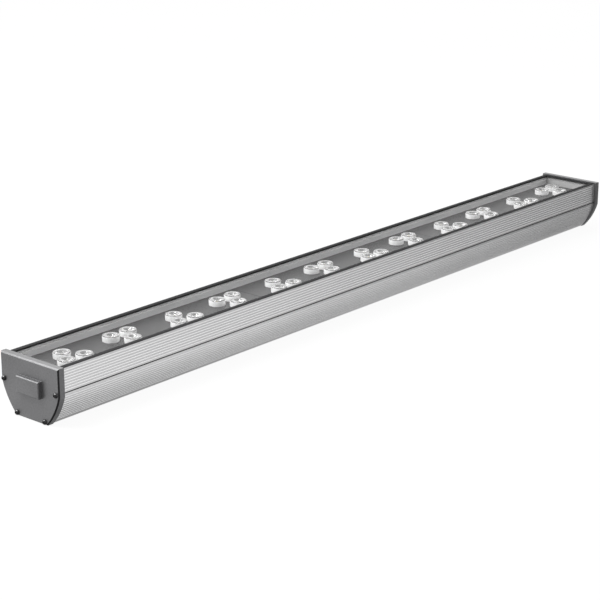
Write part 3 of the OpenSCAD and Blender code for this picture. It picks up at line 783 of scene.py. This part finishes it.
@dataclass
class Shell:
    """Housing, end caps, gaskets and the cap screws.

    The upright bevels of a cap are told by their normals, whose share of X lies between the two values of
    bevel_normal_x and whose Z lies below bevel_normal_z.
    """

    shop: Workshop
    cap_break: float = 0.25 * MM
    block_depth: float = 5 * MM
    bevel_normal_x: tuple[float, float] = (0.3, 0.95)
    bevel_normal_z: float = 0.3
    flat_normal_z: float = 0.9
    level_gap: float = 0.1 * MM
    skin_depth: float = 0.5 * MM
    belly_radius: float = 80 * MM
    side_height: float = 28.5 * MM
    head_radius: float = 3.0 * MM
    head_height: float = 3.2 * MM
    head_skirt: float = 1.0 * MM
    shank_radius: float = 1.2 * MM
    socket_radius: float = 1.15 * MM
    socket_depth: float = 1.4 * MM
    socket_break: float = 0.12 * MM
    socket_sides: int = 6
    rings: int = 5
    steps: int = 48

    def build(self) -> None:
        """Make the shell's pieces."""
        # The housing's faces below the deck get the dark copy of the chamber wall as painted shade
        self.shop.dress_parts("housing", [EXTRUSION, CHAMBER, PAINTED_SHADE_CAVITY], self.skin())
        for end in End:
            self.cap(end)
            self.shop.dress(f"cap_gasket_{end.word}", GASKET)
            self.screws(end)

    def cap(self, end: End) -> None:
        """Make an end cap, whose upright bevels get a near-black finish that paints in a dark reflection.

        Args:
            end: The end of the light.
        """
        node = f"end_cap_{end.word}"
        low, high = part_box(node)
        face_x = max(abs(low.x), abs(high.x)) - self.block_depth
        cap = self.shop.softened(node, self.cap_break, "end_cap", CASTING)
        # Painted dark reflection: the upright bevels of the cap body take the near-black finish
        cap.data.materials.append(self.shop.finish(PAINTED_BEVEL_REFLECTION))
        least, most = self.bevel_normal_x
        for face in cap.data.polygons:
            slanted = least < abs(face.normal.x) < most and face.normal.z < self.bevel_normal_z
            if slanted and abs(face.center.x) < face_x:
                face.material_index = 1

    def skin(self) -> Callable[[Vector, Vector], int]:
        """Return a test that tells the housing's outer faces from those above and below the deck."""
        low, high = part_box("housing")
        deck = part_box("led_board_a")[0].z - self.level_gap
        shoulder = high.z - self.side_height
        points = [v.co for v in self.shop.frame["nodes"]["housing"].data.vertices]
        foot = max(p.y for p in points if p.z < low.z + self.level_gap)
        upper, lower = Vector((high.y, shoulder)), Vector((foot, low.z))
        chord = lower - upper
        rise = math.sqrt(self.belly_radius ** 2 - chord.length_squared / 4)
        middle = (upper + lower) / 2 + Vector((chord.y, -chord.x)).normalized() * rise

        def pick(at: Vector, normal: Vector) -> int:
            """Return 0 for a face on the outline or its reeding, 1 in the chamber and 2 below it, where
            shade is painted.
            """
            side = Vector((abs(at.y), at.z))
            depth = high.y - side.x if at.z > shoulder else self.belly_radius - (side - middle).length
            edge = at.z > high.z - self.level_gap or at.z < low.z + self.level_gap
            if (edge and abs(normal.z) > self.flat_normal_z) or depth < self.skin_depth:
                return 0
            return 1 if at.z > deck else 2

        return pick

    def screw(self) -> bmesh.types.BMesh:
        """Make one screw whose seat lies at z = 0 and whose domed head points along +Z."""
        dome = self.head_height - self.head_skirt
        ball = (self.head_radius ** 2 + dome ** 2) / (2 * dome)
        bm = bmesh.new()

        def height(radius: float) -> float:
            """Return the dome's height at a radius."""
            return self.head_height - ball + math.sqrt(ball ** 2 - radius ** 2)

        rim = bmesh.ops.create_circle(bm, cap_ends=False, radius=self.socket_radius,
                                      segments=self.socket_sides)["verts"]
        sides = list({e for v in rim for e in v.link_edges})
        cuts = self.steps // self.socket_sides - 1
        bmesh.ops.subdivide_edges(bm, edges=sides, cuts=cuts, use_grid_fill=False)
        socket = bm.edges[:]
        for vert in {v for e in socket for v in e.verts}:
            vert.co.z = height(vert.co.xy.length) - self.socket_break
        outer = socket
        radii = [self.socket_radius + self.socket_break]
        step = (self.head_radius - radii[0]) / self.rings
        radii += [radii[0] + step * k for k in range(1, self.rings + 1)]
        for radius in radii:
            ring = bmesh.ops.create_circle(bm, cap_ends=False, radius=radius, segments=self.steps,
                                           matrix=Matrix.Translation((0, 0, height(radius))))["verts"]
            edges = list({e for v in ring for e in v.link_edges})
            bmesh.ops.bridge_loops(bm, edges=outer + edges)
            outer = edges
        for radius in (self.head_radius, self.shank_radius):
            lower = bmesh.ops.extrude_edge_only(bm, edges=outer)["geom"]
            outer = [g for g in lower if isinstance(g, bmesh.types.BMEdge)]
            for vert in {v for e in outer for v in e.verts}:
                vert.co.z = 0.0
                vert.co.xy = vert.co.xy * (radius / vert.co.xy.length)
        floor = bmesh.ops.extrude_edge_only(bm, edges=socket)["geom"]
        for vert in (g for g in floor if isinstance(g, bmesh.types.BMVert)):
            vert.co.z = self.head_height - self.socket_depth
        bmesh.ops.holes_fill(bm, edges=[e for e in bm.edges if e.is_boundary], sides=0)
        bmesh.ops.recalc_face_normals(bm, faces=bm.faces)
        return bm

    def screws(self, end: End) -> None:
        """Put the four cap screws of one end in their holes.

        Args:
            end: The end of the light.
        """
        node = f"cap_screws_{end.word}"
        low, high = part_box(node)
        seat_x = low.x + self.head_height if end is End.NEAR else high.x - self.head_height
        tip_x = high.x if end is End.NEAR else low.x
        outward = Matrix.Rotation(end.value * math.pi / 2, 4, "Y")
        shank = lathe([(0, -abs(tip_x - seat_x)), (self.shank_radius, -abs(tip_x - seat_x)),
                       (self.shank_radius, 0), (0, 0)], self.steps // 2)
        head = self.screw()
        bm = bmesh.new()
        for y, z in self.spots(node):
            place = Matrix.Translation((seat_x, y, z)) @ outward
            join(bm, head, place)
            join(bm, shank, place)
        head.free()
        shank.free()
        self.shop.piece(node, bm, "black_screw", [BLACK_STEEL])

    def spots(self, node: str) -> list[tuple[float, float]]:
        """Read the places of a node's screws from its mesh.

        Args:
            node: The node's name.

        Returns:
            The middle of each screw across the light.
        """
        points = [v.co for v in self.shop.frame["nodes"][node].data.vertices]
        middle_z = sum(p.z for p in points) / len(points)
        made = []
        for side in (-1, 1):
            for upper in (False, True):
                group = [p for p in points if (p.y > 0) == (side > 0) and (p.z > middle_z) == upper]
                ys, zs = [p.y for p in group], [p.z for p in group]
                made.append(((min(ys) + max(ys)) / 2, (min(zs) + max(zs)) / 2))
        return made


@dataclass
class Window:
    """Cover glass and the rubber strips round it."""

    shop: Workshop
    strip_break: float = 0.18 * MM

    def build(self) -> None:
        """Make the window's pieces."""
        self.shop.dress("cover_glass", COVER_GLASS)
        for side in ("strip_front", "strip_rear", "end_near", "end_far"):
            self.shop.softened(f"glazing_{side}", self.strip_break, "glazing_rubber", GLAZING)


@dataclass
class Optics:
    """Lens groups with their holders and the light emitters under them."""

    shop: Workshop
    holder_radius: float = 9.5 * MM
    holder_height: float = 5.9 * MM
    holder_wall: float = 1.3 * MM
    holder_base: float = 0.8 * MM
    holder_bore: float = 3.6 * MM
    holder_foot_round: float = 0.3 * MM
    holder_rim_round: float = 0.25 * MM
    holder_mouth_round: float = 0.15 * MM
    rim_thick: float = 1.0 * MM
    rim_inset: float = 0.3 * MM
    rim_round: float = 0.35 * MM
    gap: float = 0.2 * MM
    pocket_radius: float = 1.7 * MM
    pocket_height: float = 2.7 * MM
    foot_radius: float = 3.0 * MM
    foot_height: float = 1.0 * MM
    foot_round: float = 0.2 * MM
    hollow_radius: float = 4.8 * MM
    hollow_depth: float = 3.2 * MM
    hollow_floor: float = 2.2 * MM
    hollow_round: float = 0.25 * MM
    hollow_floor_round: float = 0.3 * MM
    core_edge: float = 0.15 * MM
    steps: int = 64
    groups: int = 12
    package: float = 3.45 * MM
    package_height: float = 0.8 * MM
    package_break: float = 0.12 * MM
    phosphor_share: float = 0.62
    phosphor_thick: float = 0.1 * MM
    phosphor_break: float = 0.04 * MM
    dome: float = 1.3 * MM
    dome_step_deg: int = 9

    def build(self) -> None:
        """Make the lenses, holders and emitters."""
        lens, holder = self.lens(), self.holder()
        spots = []
        for number in range(1, self.groups + 1):
            group = self.spots(number)
            spots.append(group)
            self.trio(f"lens_trio_{number:02d}", lens, group, "lens", [LENS, LENS_PAINTED_SHADE])
            self.trio(f"holder_trio_{number:02d}", holder, group, "lens_holder", [HOLDER])
        lens.free()
        holder.free()
        share = self.groups // len(BOARDS)
        for k, letter in enumerate(BOARDS):
            self.emitters(letter, [s for g in spots[k * share:(k + 1) * share] for s in g])

    def spots(self, number: int) -> list[Vector]:
        """Read a group's three lens places from its holders' box.

        Args:
            number: The group's number, from 1.

        Returns:
            The foot of each lens on the board.
        """
        low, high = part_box(f"holder_trio_{number:02d}")
        side = 1 if number % 2 else -1
        single_y = high.y - self.holder_radius if side > 0 else low.y + self.holder_radius
        pair_y = low.y + self.holder_radius if side > 0 else high.y - self.holder_radius
        return [Vector(((low.x + high.x) / 2, single_y, low.z)),
                Vector((low.x + self.holder_radius, pair_y, low.z)),
                Vector((high.x - self.holder_radius, pair_y, low.z))]

    def lens(self) -> bmesh.types.BMesh:
        """Turn one lens: cone round the emitter, rim on the holder, hollow in the top, with painted shade in
        the hollow and on the rim's side.
        """
        cone = self.holder_radius - self.holder_wall - self.gap
        rim = self.holder_radius - self.rim_inset
        top = self.holder_height + self.rim_thick
        floor = top - self.hollow_depth
        profile = [(0, self.pocket_height), (self.pocket_radius, self.pocket_height),
                   (self.pocket_radius, self.foot_height), (self.foot_radius, self.foot_height),
                   (cone, self.holder_height), (rim, self.holder_height), (rim, top),
                   (self.hollow_radius, top), (self.hollow_floor, floor), (0, floor)]
        corners = {3: self.foot_round, 6: self.rim_round, 7: self.hollow_round, 8: self.hollow_floor_round}
        bm = lathe(rounded(profile, corners), self.steps)
        for face in bm.faces:
            middle = face.calc_center_median()
            hollow = middle.z > floor - MERGE and middle.xy.length < self.hollow_radius + self.core_edge
            band = middle.xy.length > rim - self.core_edge and middle.z < top - self.core_edge
            # Painted shade: the hollow and the rim's upright band take the darker acrylic
            face.material_index = int(hollow or (band and abs(face.normal.z) < UPRIGHT))
        return bm

    def holder(self) -> bmesh.types.BMesh:
        """Turn one holder: a cup that stands on the board and carries the rim of the lens."""
        bore = self.holder_radius - self.holder_wall
        slope = (self.holder_height - self.holder_base) / 2
        profile = [(self.holder_bore, 0), (self.holder_radius, 0), (self.holder_radius, self.holder_height),
                   (bore, self.holder_height), (bore - slope, self.holder_base),
                   (self.holder_bore, self.holder_base)]
        corners = {1: self.holder_foot_round, 2: self.holder_rim_round, 3: self.holder_mouth_round}
        outline = rounded(profile, corners)
        return lathe(outline + outline[:1], self.steps)

    def trio(self, node: str, part: bmesh.types.BMesh, spots: list[Vector], slot: str,
             finishes: list[AnyFinish]) -> None:
        """Put three copies of a part at a group's places.

        Args:
            node: The CAD node that they replace.
            part: The part.
            spots: The places.
            slot: The record's material slot.
            finishes: The part's finishes.
        """
        bm = bmesh.new()
        for spot in spots:
            join(bm, part, Matrix.Translation(spot))
        self.shop.piece(node, bm, slot, finishes)

    def emitters(self, letter: str, spots: list[Vector]) -> None:
        """Make a board's emitters: ceramic package, phosphor square and a dome in the same phosphor finish.

        Args:
            letter: The board's letter.
            spots: Their places.
        """
        half = self.package / 2
        base = block(Vector((-half, -half, 0)), Vector((half, half, self.package_height)),
                     self.package_break)
        inner = self.phosphor_share * half
        square = block(Vector((-inner, -inner, self.package_height)),
                       Vector((inner, inner, self.package_height + self.phosphor_thick)),
                       self.phosphor_break, 1)
        arc = [(self.dome * math.cos(a), self.package_height + self.dome * math.sin(a))
               for a in (math.radians(d) for d in range(0, 91, self.dome_step_deg))]
        dome = lathe([(0, self.package_height)] + arc, self.steps // 2)
        bm = bmesh.new()
        for spot in spots:
            place = Matrix.Translation(spot)
            for material, part in enumerate((base, square, dome)):
                join(bm, part, place, material)
        for part in (base, square, dome):
            part.free()
        self.shop.piece(f"leds_{letter}", bm, "led_emitter", [CERAMIC, PHOSPHOR, PHOSPHOR], sharp_deg=35.0)


@dataclass
class Electrics:
    """Boards, links, leads, driver, terminals and the cable inlet."""

    shop: Workshop
    earth_half: float = 4 * MM
    winding_radius: float = 8.8 * MM
    soft: dict[str, tuple[float, str, Finish]] = field(default_factory=lambda: {
        "board_links": (0.25 * MM, "link_plastic", LINK_PLASTIC),
        "lead_grommet": (0.12 * MM, "grommet_rubber", GROMMET),
        "driver_tray": (0.15 * MM, "driver_case", TRAY_STEEL),
        "driver_cover": (0.15 * MM, "driver_case", TRAY_STEEL),
        "driver_capacitors": (0.4 * MM, "capacitor_sleeve", SLEEVE),
        "terminal_block": (0.2 * MM, "terminal_plastic", IVORY),
        "chassis_screws": (0.1 * MM, "zinc_screw", ZINC),
        "earth_screw": (0.1 * MM, "brass", BRASS),
        "inlet_seal": (0.15 * MM, "grommet_rubber", GROMMET),
        "inlet_gland": (0.15 * MM, "gland_metal", NICKEL),
    })

    def build(self) -> None:
        """Dress the pieces on and below the deck."""
        for letter in BOARDS:
            self.shop.dress(f"led_board_{letter}", BOARD_MASK)
        self.shop.dress("driver_board", BOARD_GREEN)
        for node, (width, slot, finish) in self.soft.items():
            self.shop.softened(node, width, slot, finish)
        self.leads()
        self.transformer()

    def leads(self) -> None:
        """Colour each lead's sheath by the side that it runs on."""
        output_y = sum(c.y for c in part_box("output_leads")) / 2
        self.shop.dress_parts("output_leads", [LEAD_RED, LEAD_BLACK],
                              lambda at, normal: int(at.y > output_y))

        def sheath(at: Vector, normal: Vector) -> int:
            """Return 0 for the front lead, 1 for the rear one and 2 for the earth lead between them."""
            return 2 if abs(at.y) < self.earth_half else int(at.y > 0)

        self.shop.dress_parts("input_leads", [LEAD_BROWN, LEAD_BLUE, LEAD_GREEN], sheath)

    def transformer(self) -> None:
        """Show the winding's copper inside the ferrite core."""
        low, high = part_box("driver_transformer")
        middle = (low + high) / 2

        def coil(at: Vector, normal: Vector) -> int:
            """Return 1 for a face of the winding and 0 for one of the core."""
            return int(abs(normal.z) < UPRIGHT and (at - middle).xy.length < self.winding_radius)

        self.shop.dress_parts("driver_transformer", [FERRITE, COPPER], coil)


@dataclass
class Track:
    """The two nuts that slide in the track below the light."""

    shop: Workshop
    nut_break: float = 0.2 * MM

    def build(self) -> None:
        """Make the nuts."""
        for end in End:
            self.shop.softened(f"track_nut_{end.word}", self.nut_break, "nut_steel", ZINC, f"{end.word}_nut")


def main() -> None:
    """Build the studio and the light."""
    logging.basicConfig(level=logging.INFO, format="%(name)s: %(message)s")
    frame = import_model()
    Studio().build()
    shop = Workshop(frame)
    for section in (Shell(shop), Window(shop), Optics(shop), Electrics(shop), Track(shop)):
        section.build()


if __name__ == "__main__":
    main()
